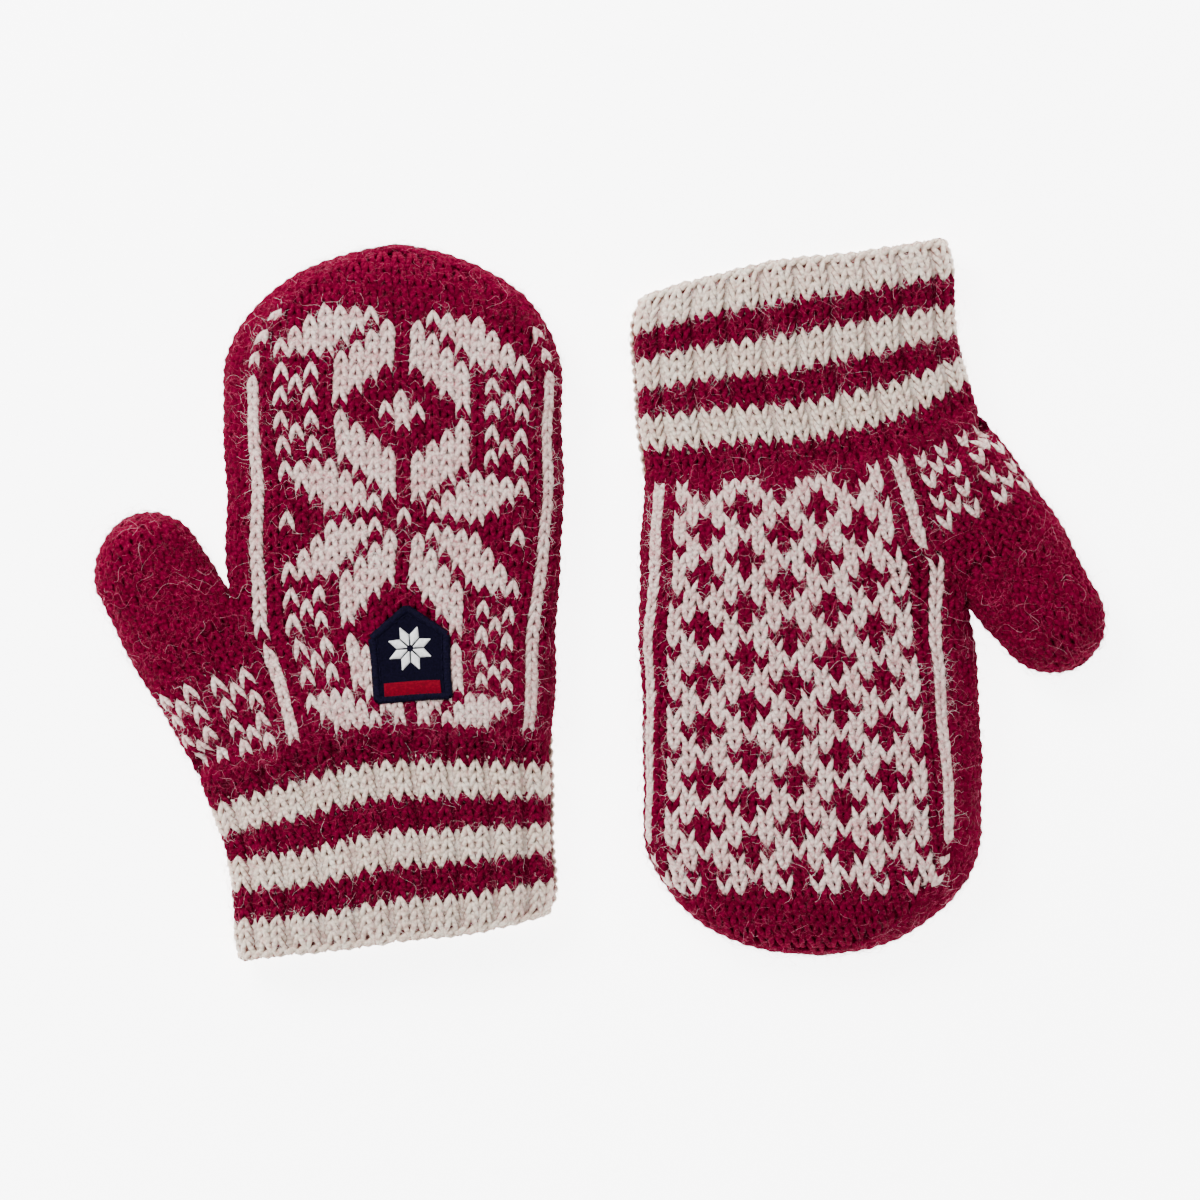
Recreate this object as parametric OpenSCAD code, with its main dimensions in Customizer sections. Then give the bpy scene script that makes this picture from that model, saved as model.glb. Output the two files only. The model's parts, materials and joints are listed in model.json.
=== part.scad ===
// A pair of knitted children's mittens lying flat, side by side.
// The right mitten lies with its back up and its fingers towards +Y.
// The left mitten lies with its palm up and its fingers towards -Y.
// Lengths are in millimetres. z = 0 is the surface that the pair lies on.

/* [Hand] */
// Length from the cuff join to the tip of the crown
hand_len = 115.4; // [104:0.2:140]
// Width across the knuckles
hand_width = 81; // [67:0.5:98]
// Thickness of the hand as it lies
hand_thick = 18; // [15:0.5:22]
// Thickness of the closed tips of the hand and the thumb
tip_thick = 5; // [4:0.5:7]
// Length of the rounded end of the hand
crown_round = 32.4; // [27:0.2:38]
// Length of the plain crown
crown_len = 17.4; // [14:0.2:21]

/* [Knit] */
// Thickness of the knitted wall
knit_wall = 2.6; // [2.1:0.1:3.2]
// Thickness of the layer of carried yarn inside the pattern
float_layer = 0.8; // [0.6:0.1:1]
// How far the underside is pressed flat
press_flat = 0.8; // [0.6:0.1:1]
// Thickness of the woven-in yarn ends
yarn_end = 1.8; // [1.4:0.1:2.2]

/* [Cuff] */
// Length of the ribbed cuff
cuff_len = 50; // [41:0.5:60]
// Width of the cuff near its edge
cuff_width = 77.8; // [70:0.2:86]
// Width of the wrist at the join, without the thumb's flare
wrist_width = 75.2; // [68:0.2:84]
// Thickness of the cuff as it lies
cuff_thick = 16; // [13:0.5:20]
// Height of the side seam above the cuff's edge
seam_height = 0.8; // [0.6:0.1:1]

/* [Knuckle fold] */
// Height of the fold band's lower end above the join
fold_start = 46; // [42:0.5:52]
// Length of the band that bends when the fingers fold
fold_len = 24; // [20:0.5:27]

/* [Thumb] */
// Height of the thumb crotch above the join
crotch_height = 33.3; // [30:0.1:38]
// Length of the thumb beyond the crotch
thumb_len = 26.5; // [22:0.5:34]
// Width of the thumb at the crotch
thumb_width = 29.6; // [25:0.1:35]
// Width of the thumb near its tip
thumb_tip_width = 26.4; // [22:0.1:30]
// Thickness of the thumb as it lies
thumb_thick = 16; // [13:0.5:18]
// Angle between the right thumb and the hand
right_thumb_angle = 29.8; // [26:0.1:35]
// Angle between the left thumb and the hand
left_thumb_angle = 33.2; // [26:0.1:35]
// How far the thumb's side sinks into the hand's at the crotch
crotch_sink = 1; // [0.5:0.1:1.5]
// Length of the gusset below the crotch
gusset_len = 35.7; // [30:0.1:40]
// Length of the gusset's part of the bending band
root_below = 5.7; // [4:0.1:7]
// Length of the thumb's part of the bending band
root_above = 6.3; // [5:0.1:8]

/* [Badge] */
// Width of the sewn badge
badge_width = 19.4; // [16:0.1:24]
// Height of the badge up to its point
badge_height = 23; // [19:0.1:28]
// Height of the badge's straight sides
badge_side = 15.2; // [12:0.1:18]
// Height of the badge's middle above the join
badge_y = 17.1; // [16:0.1:20]
// Distance of the badge's middle from the middle of the hand
badge_x = 4.9; // [0:0.1:8]
// Turn of the badge on the knit
badge_turn = 3; // [-6:0.5:6]
// Thickness of the badge's cloth
badge_cloth = 0.6; // [0.5:0.05:0.7]
// Thickness of the border and the emblem
badge_raise = 0.4; // [0.3:0.05:0.5]
// Thickness of the sewing thread
badge_thread = 0.2; // [0.15:0.05:0.25]
// Width of the badge's border
border_width = 1.6; // [1.2:0.1:2]

/* [Pair] */
// Gap between the two mittens
pair_gap = 16; // [8:0.1:30]
// How far the left mitten is turned from facing the other way
left_tilt = 2.4; // [-3:0.1:3]

/* [Hidden] */
PIECES = [
    "cuff_edge", "cuff_cream_stripes", "cuff_red_stripes", "cuff_side_seam",
    "cuff_yarn_end", "palm_tube", "palm_float_lining", "knuckle_fold", "finger_tube",
    "finger_float_lining", "crown", "crown_yarn_end", "thumb_gusset", "thumb_root",
    "thumb_tip", "thumb_yarn_end", "badge_backing", "badge_border", "badge_panel",
    "badge_motif", "badge_stitches"
];

RED = "#86082f";
CREAM = "#e6dad2";
NAVY = "#1b182b";

// Points round a section of the hand and of the thumb
HAND_SIDES = 32;
THUMB_SIDES = 24;
// Exponent of the rounded sections: 2 is an ellipse, and more is squarer
SECTION_POWER = 2.6;

// The cuff's bands, counted from the join: even ones are red, odd ones cream
BANDS = 6;
band_len = cuff_len / BANDS;

dome_start = hand_len - crown_round;
crown_start = hand_len - crown_len;
fold_end = fold_start + fold_len;

// ---- The thumb's own frame, from the angle of the mitten being drawn
$thumb_angle = right_thumb_angle;
// Up the thumb's axis, and across it away from the hand
function thumb_along() = [-sin($thumb_angle), cos($thumb_angle)];
function thumb_out() = [-cos($thumb_angle), -sin($thumb_angle)];
// The point on the axis beside the crotch
function thumb_mid() = [crotch_sink - half_width(crotch_height), crotch_height]
    + thumb_out() * thumb_width / 2;
thumb_round = thumb_tip_width / 2;
thumb_dome = thumb_len - thumb_round;
thumb_base_width = thumb_width - 1.2;
// The outer corner where the gusset starts from the cuff
function gusset_corner() = thumb_mid() - thumb_along() * gusset_len
    + thumb_out() * thumb_base_width / 2;

// ---- Outline of the hand
// How the wrist widens towards the gusset: share of the flare at each height
FLARE = [[-40, 0], [-30, 0.06], [-22, 0.18], [-14, 0.43], [-5, 0.81], [0, 1], [6, 0.6],
    [12, 0.2], [18, 0]];
function flare() = -gusset_corner()[0] + 0.4 - wrist_width / 2;

function half_width(v) = lookup(v, [
    [-cuff_len, cuff_width / 2 - 1.2],
    [-cuff_len + 5, cuff_width / 2 - 0.2],
    [-cuff_len + 12, cuff_width / 2],
    [0, wrist_width / 2],
    [18, (wrist_width + hand_width) / 4],
    [fold_start, hand_width / 2 - 0.3],
    [fold_end, hand_width / 2]]);
function dome_share(v, start, length) = v <= start ? 0 : min(1, (v - start) / length);
function thickness(v) = lookup(v, [[-cuff_len, cuff_thick - 1], [-cuff_len + 6, cuff_thick],
    [-band_len, cuff_thick], [4, hand_thick], [dome_start, hand_thick]]);
function domed(thick, share) = tip_thick + (thick - tip_thick) * sqrt(1 - pow(share, 4));

// ---- Slant of the rows: a row at height v runs at v + a * x + b * x * x,
// with one pair of values on the thumb side and one on the other side
join_slope = 0.1;
function join_bend() =
    let (corner = gusset_corner())
    (corner[1] - 0.4 - join_slope * corner[0]) / pow(corner[0], 2);
function thumb_side_y(x, v) =
    let (
        a = lookup(v, [[-50, 0.1], [-28, 0.25], [-12, join_slope], [0, join_slope], [23, 0]]),
        b = lookup(v, [[-50, 0], [-28, 0.0025], [-12, join_bend()], [0, join_bend()], [23, 0]])
    )
    v + a * x + b * x * x;
function far_side_y(x, v) =
    let (
        a = lookup(v, [[-50, 0.1], [-28, 0.05], [-12, 0]]),
        b = lookup(v, [[-50, 0.0023], [-28, 0.0008], [-12, 0]])
    )
    v + a * x + b * x * x;
function row_y(x, v) = x < 0 ? thumb_side_y(x, v) : far_side_y(x, v);

// ---- Sections
function signed_pow(t) = sign(t) * pow(abs(t), 2 / SECTION_POWER);
// Height of a section's point: inset from the skin, and pressed flat underneath
function section_z(angle, thick, inset) = max(inset,
    thick / 2 - press_flat / 2 + (thick / 2 + press_flat / 2 - inset) * signed_pow(sin(angle)));

// One ring of the hand at height v, inset from the skin
function hand_ring(v, inset) =
    let (
        share = dome_share(v, dome_start, crown_round - inset),
        left = half_width(v) + flare() * lookup(v, FLARE) - inset,
        right = half_width(v) - inset,
        narrow = sqrt(1 - share * share),
        thick = domed(thickness(v), share)
    )
    [for (i = [0:HAND_SIDES - 1])
        let (
            angle = i * 360 / HAND_SIDES,
            side = cos(angle) < 0 ? left : right,
            x = narrow * side * signed_pow(cos(angle))
        )
        [x, row_y(x, v), section_z(angle, thick, inset)]];

// One ring of the thumb at distance s along its axis, inset from the skin
function thumb_half(s) = lookup(s, [[-gusset_len, thumb_base_width / 2], [-24, thumb_width / 2],
    [0, thumb_width / 2], [thumb_dome, thumb_tip_width / 2]]);
function thumb_ring(s, inset) =
    let (
        share = dome_share(s, thumb_dome, thumb_round - inset),
        half = (thumb_half(s) - inset) * sqrt(1 - share * share),
        thick = domed(thumb_thick, share),
        middle = thumb_mid() + thumb_along() * s
    )
    [for (i = [0:THUMB_SIDES - 1])
        let (
            angle = i * 360 / THUMB_SIDES,
            p = middle - thumb_out() * half * signed_pow(cos(angle))
        )
        [p[0], p[1], section_z(angle, thick, inset)]];

function steps(from, to, count) = [for (i = [0:count]) from + (to - from) * i / count];
// Heights of the rings of a rounded end, closer together towards the tip
function dome_steps(from, start, length, count) =
    let (first = asin(dome_share(from, start, length)))
    [for (i = [0:count - 1]) start + length * sin(first + (87 - first) * i / (count - 0.4))];

// ---- Surfaces between rings
function joined(lists) = [for (list = lists) for (item = list) item];
function skin_faces(first, rings, sides, outward) =
    [for (r = [0:rings - 2]) for (i = [0:sides - 1])
        let (
            a = first + r * sides + i,
            b = first + r * sides + (i + 1) % sides,
            c = b + sides,
            d = a + sides
        )
        each outward ? [[a, b, c], [a, c, d]] : [[a, c, b], [a, d, c]]];
// The rim between an outer and an inner ring
function rim_faces(outer, inner, sides, up) =
    [for (i = [0:sides - 1])
        let (
            a = outer + i,
            b = outer + (i + 1) % sides,
            c = inner + (i + 1) % sides,
            d = inner + i
        )
        each up ? [[a, b, c], [a, c, d]] : [[a, c, b], [a, d, c]]];
function fan_faces(first, tip, sides, outward) =
    [for (i = [0:sides - 1])
        let (a = first + i, b = first + (i + 1) % sides)
        outward ? [a, b, tip] : [a, tip, b]];
function ring_middle(ring) = [for (k = [0:2]) (min([for (p = ring) p[k]]) + max([for (p = ring) p[k]])) / 2];

// An open tube with a wall, from outer and inner rings at the same heights
module tube(outer, inner, sides) {
    n = len(outer);
    half = n * sides;
    polyhedron(concat(joined(outer), joined(inner)), concat(
        skin_faces(0, n, sides, true),
        skin_faces(half, n, sides, false),
        rim_faces(0, half, sides, false),
        rim_faces(half - sides, 2 * half - sides, sides, true)));
}

// A tube whose far end is closed by a rounded tip
module capped_tube(outer, inner, tip_out, tip_in, sides) {
    n_out = len(outer) * sides;
    n_in = len(inner) * sides;
    polyhedron(concat(joined(outer), joined(inner), [tip_out, tip_in]), concat(
        skin_faces(0, len(outer), sides, true),
        fan_faces(n_out - sides, n_out + n_in, sides, true),
        skin_faces(n_out, len(inner), sides, false),
        fan_faces(n_out + n_in - sides, n_out + n_in + 1, sides, false),
        rim_faces(0, n_out, sides, false)));
}

// A solid through rings, closed at both ends
module loft(rings, sides) {
    n = len(rings) * sides;
    polyhedron(concat(joined(rings), [ring_middle(rings[0]), ring_middle(rings[len(rings) - 1])]), concat(
        skin_faces(0, len(rings), sides, true),
        fan_faces(0, n, sides, false),
        fan_faces(n - sides, n + 1, sides, true)));
}

// Keeps a cut shell as one mesh. Zeros leave its size as it is.
module one_mesh() {
    resize([0, 0, 0]) children();
}

// ---- Tubes of the hand and the thumb
module hand_tube(heights, from_inset, to_inset) {
    tube([for (v = heights) hand_ring(v, from_inset)],
        [for (v = heights) hand_ring(v, to_inset)], HAND_SIDES);
}

module thumb_tube(heights) {
    tube([for (s = heights) thumb_ring(s, 0)],
        [for (s = heights) thumb_ring(s, knit_wall)], THUMB_SIDES);
}

palm_heights = steps(0, fold_start, 6);
gusset_heights = steps(-gusset_len, -root_below, 4);
root_heights = steps(-root_below, root_above, 2);

// The whole outside of the hand from the cuff to the fold
module hand_outside() {
    heights = concat([-band_len, -band_len / 2], palm_heights, [fold_end]);
    loft([for (v = heights) hand_ring(v, 0)], HAND_SIDES);
}

// The space inside the thumb, open towards the hand
module thumb_space() {
    heights = concat(steps(-gusset_len + knit_wall, -root_below, 4), root_heights, [root_above + 2]);
    loft([for (s = heights) thumb_ring(s, knit_wall)], THUMB_SIDES);
}

// ---- Cuff
cuff_heights = steps(-cuff_len, 0, 2 * BANDS);

module cuff_band(index) {
    hand_tube(steps(-(index + 1) * band_len, -index * band_len, 2), 0, knit_wall);
}

module cuff_edge() {
    color(CREAM) cuff_band(BANDS - 1);
}

module cuff_cream_stripes() {
    color(CREAM) for (i = [1:2:BANDS - 3]) cuff_band(i);
}

module cuff_red_stripes() {
    color(RED) for (i = [0:2:BANDS - 2]) cuff_band(i);
}

// The carried yarn that runs up the little-finger edge of the cuff
seam_heights = steps(-cuff_len + 1, -1, 10);
function seam_ring(v) =
    let (edge = hand_ring(v, 0)[0])
    [for (i = [0:7]) edge + [seam_height * cos(i * 45), 0, 1.5 * seam_height * sin(i * 45)]];

module cuff_side_seam() {
    color(CREAM) one_mesh() difference() {
        loft([for (v = seam_heights) seam_ring(v)], 8);
        loft([for (v = cuff_heights) hand_ring(v, 0)], HAND_SIDES);
    }
}

// A woven-in yarn end: a bar with a flat side on the inner floor
module yarn_bar(length) {
    translate([0, 0, knit_wall]) rotate([90, 0, 0]) linear_extrude(length) intersection() {
        circle(d = yarn_end, $fn = 24);
        translate([-yarn_end, 0]) square([2 * yarn_end, yarn_end]);
    }
}

// The woven-in end lies on the level middle of the floor
cuff_end_x = 0.25 * wrist_width;

module cuff_yarn_end() {
    color(CREAM) translate([cuff_end_x, -band_len, 0]) yarn_bar(3 * band_len);
}

// ---- Hand
module palm_tube(back_up) {
    color(RED) one_mesh() difference() {
        hand_tube(palm_heights, 0, knit_wall);
        thumb_space();
        badge_layer(back_up, 0, badge_stack, hand_thick) badge_outline(0);
    }
}

module palm_float_lining() {
    heights = [for (i = [1:5]) palm_heights[i]];
    color(CREAM) one_mesh() difference() {
        hand_tube(heights, knit_wall, knit_wall + float_layer);
        thumb_space();
    }
}

module knuckle_fold() {
    color(RED) hand_tube(steps(fold_start, fold_end, 3), 0, knit_wall);
}

finger_heights = concat(steps(fold_end, dome_start, 2),
    [(dome_start + crown_start) / 2, crown_start]);

module finger_tube() {
    color(RED) hand_tube(finger_heights, 0, knit_wall);
}

module finger_float_lining() {
    heights = [for (i = [0:3]) finger_heights[i]];
    color(CREAM) hand_tube(heights, knit_wall, knit_wall + float_layer);
}

crown_heights = dome_steps(crown_start, dome_start, crown_round, 6);

module crown() {
    color(RED) capped_tube(
        [for (v = crown_heights) hand_ring(v, 0)],
        [for (v = dome_steps(crown_start, dome_start, crown_round - knit_wall, 6))
            hand_ring(v, knit_wall)],
        [0, hand_len, tip_thick / 2],
        [0, hand_len - knit_wall, tip_thick / 2 + 0.3],
        HAND_SIDES);
}

module crown_yarn_end() {
    color(RED) translate([1, hand_len - knit_wall - 4, 0]) yarn_bar(crown_len - knit_wall - 5);
}

// ---- Thumb
module thumb_gusset() {
    color(RED) one_mesh() difference() {
        thumb_tube(gusset_heights);
        hand_outside();
    }
}

module thumb_root() {
    color(RED) one_mesh() difference() {
        thumb_tube(root_heights);
        hand_outside();
    }
}

function tip_heights(inset) = concat([root_above, thumb_dome],
    dome_steps(thumb_dome + 2.5, thumb_dome, thumb_round - inset, 5));

module thumb_tip() {
    tip = thumb_mid() + thumb_along() * thumb_len;
    inner_tip = tip - thumb_along() * knit_wall;
    color(RED) capped_tube(
        [for (s = tip_heights(0)) thumb_ring(s, 0)],
        [for (s = tip_heights(knit_wall)) thumb_ring(s, knit_wall)],
        [tip[0], tip[1], tip_thick / 2],
        [inner_tip[0], inner_tip[1], tip_thick / 2 + 0.3],
        THUMB_SIDES);
}

module thumb_yarn_end() {
    top = thumb_mid() + thumb_along() * (thumb_len - knit_wall - 4);
    color(RED) translate([top[0], top[1], 0]) rotate($thumb_angle)
        yarn_bar(thumb_len - root_above - knit_wall - 5);
}

// ---- Badge, sewn on the back of the hand
badge_stack = badge_cloth + badge_raise + badge_thread;
// How far the badge beds into the knit when the back is up
badge_bed = 0.5;

// Extrudes a layer of the badge between two depths below its outer face.
// With the back up that face looks up, and otherwise it lies on z = 0.
// proud carries the layer on past the face, for a cut.
module badge_layer(back_up, from, to, proud = 0) {
    face = back_up ? hand_thick - badge_bed + badge_stack : 0;
    translate([badge_x, badge_y, back_up ? face - to : from - proud])
        rotate(badge_turn)
            linear_extrude(to - from + proud) children();
}

// The pentagon of the badge, its point towards the fingers
side_lean = 0.4;
badge_points = [
    [-badge_width / 2, -badge_height / 2],
    [badge_width / 2, -badge_height / 2],
    [badge_width / 2 - side_lean, -badge_height / 2 + badge_side],
    [0, badge_height / 2],
    [-badge_width / 2 + side_lean, -badge_height / 2 + badge_side]];

module badge_outline(inset) {
    offset(delta = -inset) polygon(badge_points);
}

module badge_backing(back_up) {
    color(NAVY) badge_layer(back_up, badge_thread + badge_raise, badge_stack) badge_outline(0);
}

module badge_border(back_up) {
    color(NAVY) badge_layer(back_up, badge_thread, badge_thread + badge_raise) difference() {
        badge_outline(0);
        badge_outline(border_width);
    }
}

// The emblem stands on the cloth, clear of the border
emblem_gap = 0.9;
panel_width = badge_width - 2 * (border_width + emblem_gap);
panel_height = 3.6;
panel_y = -badge_height / 2 + border_width + emblem_gap;

module badge_panel(back_up) {
    color(RED) badge_layer(back_up, badge_thread, badge_thread + badge_raise)
        translate([-panel_width / 2, panel_y]) square([panel_width, panel_height]);
}

// A plain flower of eight lozenges above the panel
petal_length = 4.6;
petal_width = 2.2;
petal_radius = 3.1;
motif_y = panel_y + panel_height + emblem_gap + petal_radius + petal_length / 2;

module badge_motif(back_up) {
    color(CREAM) badge_layer(back_up, badge_thread, badge_thread + badge_raise)
        translate([0, motif_y]) for (i = [0:7]) rotate(i * 45 + 22.5)
            translate([petal_radius, 0]) polygon([
                [-petal_length / 2, 0],
                [0, -petal_width / 2],
                [petal_length / 2, 0],
                [0, petal_width / 2]]);
}

// Sewing stitches along the middle of the border
stitch_pitch = 2.4;
stitch_length = 1.5;
stitch_width = 0.5;

module badge_stitches(back_up) {
    middle = 1 - border_width / badge_width;
    color(NAVY) badge_layer(back_up, 0, badge_thread) for (side = [0:4]) {
        from = badge_points[side] * middle;
        to = badge_points[(side + 1) % 5] * middle;
        count = floor(norm(to - from) / stitch_pitch);
        turn = atan2(to[1] - from[1], to[0] - from[0]);
        for (i = [0:count - 1])
            translate(from + (to - from) * (i + 0.5) / count) rotate(turn)
                square([stitch_length, stitch_width], center = true);
    }
}

// ---- Places of the two mittens: the pair's box is centred on the origin
function outline(angle) =
    let ($thumb_angle = angle)
    concat(
        joined([for (v = concat(cuff_heights, palm_heights, finger_heights, crown_heights))
            hand_ring(v, 0)]),
        joined([for (v = seam_heights) seam_ring(v)]),
        joined([for (s = tip_heights(0)) thumb_ring(s, 0)]),
        [[0, hand_len, 0]]);
function turned(points, angle) = [for (p = points) [
    p[0] * cos(angle) - p[1] * sin(angle),
    p[0] * sin(angle) + p[1] * cos(angle)]];
function low(points, k) = min([for (p = points) p[k]]);
function high(points, k) = max([for (p = points) p[k]]);

left_turn = 180 + left_tilt;
right_outline = outline(right_thumb_angle);
left_outline = turned(outline(left_thumb_angle), left_turn);
pair_width = high(right_outline, 0) - low(right_outline, 0) + pair_gap
    + high(left_outline, 0) - low(left_outline, 0);
right_place = [
    -pair_width / 2 - low(right_outline, 0),
    -(low(right_outline, 1) + high(right_outline, 1)) / 2];
left_place = [
    pair_width / 2 - high(left_outline, 0),
    -(low(left_outline, 1) + high(left_outline, 1)) / 2];

module right() {
    $thumb_angle = right_thumb_angle;
    translate(right_place) children();
}

module left() {
    $thumb_angle = left_thumb_angle;
    translate(left_place) rotate(left_turn) children();
}

right() cuff_edge();  // right_cuff_edge
right() cuff_cream_stripes();  // right_cuff_cream_stripes
right() cuff_red_stripes();  // right_cuff_red_stripes
right() cuff_side_seam();  // right_cuff_side_seam
right() cuff_yarn_end();  // right_cuff_yarn_end
right() palm_tube(true);  // right_palm_tube
right() palm_float_lining();  // right_palm_float_lining
right() knuckle_fold();  // right_knuckle_fold
right() finger_tube();  // right_finger_tube
right() finger_float_lining();  // right_finger_float_lining
right() crown();  // right_crown
right() crown_yarn_end();  // right_crown_yarn_end
right() thumb_gusset();  // right_thumb_gusset
right() thumb_root();  // right_thumb_root
right() thumb_tip();  // right_thumb_tip
right() thumb_yarn_end();  // right_thumb_yarn_end
right() badge_backing(true);  // right_badge_backing
right() badge_border(true);  // right_badge_border
right() badge_panel(true);  // right_badge_panel
right() badge_motif(true);  // right_badge_motif
right() badge_stitches(true);  // right_badge_stitches
left() cuff_edge();  // left_cuff_edge
left() cuff_cream_stripes();  // left_cuff_cream_stripes
left() cuff_red_stripes();  // left_cuff_red_stripes
left() cuff_side_seam();  // left_cuff_side_seam
left() cuff_yarn_end();  // left_cuff_yarn_end
left() palm_tube(false);  // left_palm_tube
left() palm_float_lining();  // left_palm_float_lining
left() knuckle_fold();  // left_knuckle_fold
left() finger_tube();  // left_finger_tube
left() finger_float_lining();  // left_finger_float_lining
left() crown();  // left_crown
left() crown_yarn_end();  // left_crown_yarn_end
left() thumb_gusset();  // left_thumb_gusset
left() thumb_root();  // left_thumb_root
left() thumb_tip();  // left_thumb_tip
left() thumb_yarn_end();  // left_thumb_yarn_end
left() badge_backing(false);  // left_badge_backing
left() badge_border(false);  // left_badge_border
left() badge_panel(false);  // left_badge_panel
left() badge_motif(false);  // left_badge_motif
left() badge_stitches(false);  // left_badge_stitches
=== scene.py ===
import json
import math

import bpy
import numpy as np
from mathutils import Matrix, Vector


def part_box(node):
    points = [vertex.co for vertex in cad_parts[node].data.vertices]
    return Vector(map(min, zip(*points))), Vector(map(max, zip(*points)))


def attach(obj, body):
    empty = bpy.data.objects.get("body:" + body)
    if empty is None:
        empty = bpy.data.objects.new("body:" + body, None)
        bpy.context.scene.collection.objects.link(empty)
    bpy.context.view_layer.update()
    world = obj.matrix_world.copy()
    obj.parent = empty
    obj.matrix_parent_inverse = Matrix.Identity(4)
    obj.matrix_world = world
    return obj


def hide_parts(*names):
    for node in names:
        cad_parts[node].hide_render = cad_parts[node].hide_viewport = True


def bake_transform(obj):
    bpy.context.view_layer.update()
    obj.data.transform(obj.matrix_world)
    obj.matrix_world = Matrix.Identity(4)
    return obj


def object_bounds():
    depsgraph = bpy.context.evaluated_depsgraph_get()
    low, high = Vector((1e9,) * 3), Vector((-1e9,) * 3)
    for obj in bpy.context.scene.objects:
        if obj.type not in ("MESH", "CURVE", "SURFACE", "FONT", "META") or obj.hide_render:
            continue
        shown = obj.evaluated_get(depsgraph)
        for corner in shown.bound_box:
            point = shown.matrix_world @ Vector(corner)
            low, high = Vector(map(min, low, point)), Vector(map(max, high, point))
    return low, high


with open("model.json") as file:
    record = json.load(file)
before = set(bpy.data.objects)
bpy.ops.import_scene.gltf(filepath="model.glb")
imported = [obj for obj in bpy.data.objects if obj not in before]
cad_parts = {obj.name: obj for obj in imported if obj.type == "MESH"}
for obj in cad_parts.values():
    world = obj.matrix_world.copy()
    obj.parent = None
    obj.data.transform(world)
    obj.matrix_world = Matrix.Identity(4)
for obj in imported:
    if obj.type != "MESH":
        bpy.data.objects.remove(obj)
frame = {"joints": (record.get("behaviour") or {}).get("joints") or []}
cad_low, cad_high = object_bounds()

MM = 0.001
TAU = 2 * math.pi
rng = np.random.default_rng(41)
JOINTS = {j["name"]: j for j in frame["joints"]}

# ---- Sizes of the hand in millimetres, in a mitten's own frame: x to the little finger,
# y to the fingertips from the cuff join, z up. Each _AT list holds heights for the next one.
CUFF_LEN = 50.0
DOME_START, DOME_LEN = 83.0, 32.4
HAND_END = DOME_START + DOME_LEN
HAND_TIP = HAND_END - 0.3  # as high as a loop may reach
FOLD_MIDDLE = 58.0
FOLD_START, FOLD_END = 46.0, 70.0
TIP_THICK = 5.0
UNEVEN = 0.32  # how far the laid-down knit wanders from an even shape
PRESSED = 0.4  # how much the section is cut flat where it lies on the floor
SECTION_POWER = 2.6  # of the superellipse round the hand
OUTSIDE = -5  # the height that stands for no skin at all
FLARE_AT = [-40, -30, -22, -14, -5, 0, 6, 12, 18]
FLARE_SHARE = [0, 0.06, 0.18, 0.43, 0.81, 1, 0.6, 0.2, 0]
HALF_AT = [-50, -45, -38, 0, 18, 46, 70]
HALF_WIDTH = [37.7, 38.7, 38.9, 37.6, 39.05, 40.2, 40.5]
THICK_AT = [-50, -44, -8.33, 4]
THICKNESS = [15, 16, 16, 18]

# ---- The thumb, in its own frame: s up its axis from the crotch, q outwards
THUMB_PIVOT = 8.0
THUMB_AT = [-35.7, -24, 0, 13.3]
THUMB_HALF = [14.2, 14.8, 14.8, 13.2]
THUMB_DOME, THUMB_ROUND, THUMB_THICK = 13.3, 14.2, 16.0
GUSSET_FROM, ROOT_FROM, ROOT_TO = -35.7, -5.7, 6.3
GUSSET_TOP = 24.0

# ---- The knit
YARN = 0.73  # radius
CREAM_YARN_SHARE = 0.94
THUMB_YARN = YARN * 0.95
CUFF_YARN = YARN * 0.9
LOOP_RISE, LOOP_LIFT, LOOP_SWING = 3.0, 0.68, 0.275
LOOP_RINGS, YARN_SIDES = 13, 7
SKIN_DEPTH = YARN + 0.4
COLUMN_JITTER, HEIGHT_JITTER, DEPTH_JITTER, RADIUS_JITTER = 0.02, 0.08, 0.05, 0.03
COLUMNS = 52
FACE_COLUMNS = 26
BAND = 9.5  # columns from a face's middle out to the band along its edge
ROW_HEIGHT = 2.8
LAST_ROW = 40
BAND_ROWS = 58
PATTERN_TOP = 34
LINE_TOP = 29
STAR_ROWS, STAR_CENTRE = 18, 17
CUFF_ROWS = 18
ROWS_A_STRIPE = 3
CREAM_FUZZ = 2.2  # how many times as fuzzy the cream yarn is as the red
SPREAD_AT = [5, 19, 22, 41, 60, 75]
RIBS = 20
RIB_WIDTHS = np.array([0.42, 0.42, 0.16])  # two knit columns and a purl one
RIB_MIDDLES = np.array([0.21, 0.63, 0.92])
GUSSET_COLUMNS, GUSSET_ROWS = 18, 11
THUMB_PITCH = 2.8
LINING, CUFF_LINING = (1.35, 2.4), (2.7, 3.3)  # depths of its two sides under the skin
LINING_STEP = 1.4

# ---- The parts of a mitten that move apart
PALM, KNUCKLES, FINGERS, THUMB, CUFF = range(5)
ZONES = ["palm", "knuckles", "fingers", "thumb", "cuff"]
BADGE = CUFF  # both ride on the hand and don't bend

# ---- The badge, round its own middle
BADGE_CENTRE = np.array([4.2, 17.9])
BADGE_TURN = math.radians(3)
BADGE_WIDTH, BADGE_HEIGHT, BADGE_SIDE, BADGE_LEAN = 19.4, 23.0, 15.2, 0.4
BADGE_BASE = {"right": 17.8, "left": 1.0}
CLOTH_RINGS = [
    (0.96, 0.0), (0.985, 0.15), (0.985, 0.45), (0.96, 0.62), (0.8, 0.66), (0.4, 0.68), (0.05, 0.68),
]
THREAD_PITCH, THREAD_RADIUS, THREAD_LEVEL = 0.27, 0.16, 0.6
PETALS, PETAL_REACH, PETAL_LONG, PETAL_WIDE = 8, 3.1, 2.3, 1.1
FLOWER_MIDDLE = np.array([0, 0.9])
BAR_HALF, BAR_LOW, BAR_HIGH = 7.3, -10.8, -7.2


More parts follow.
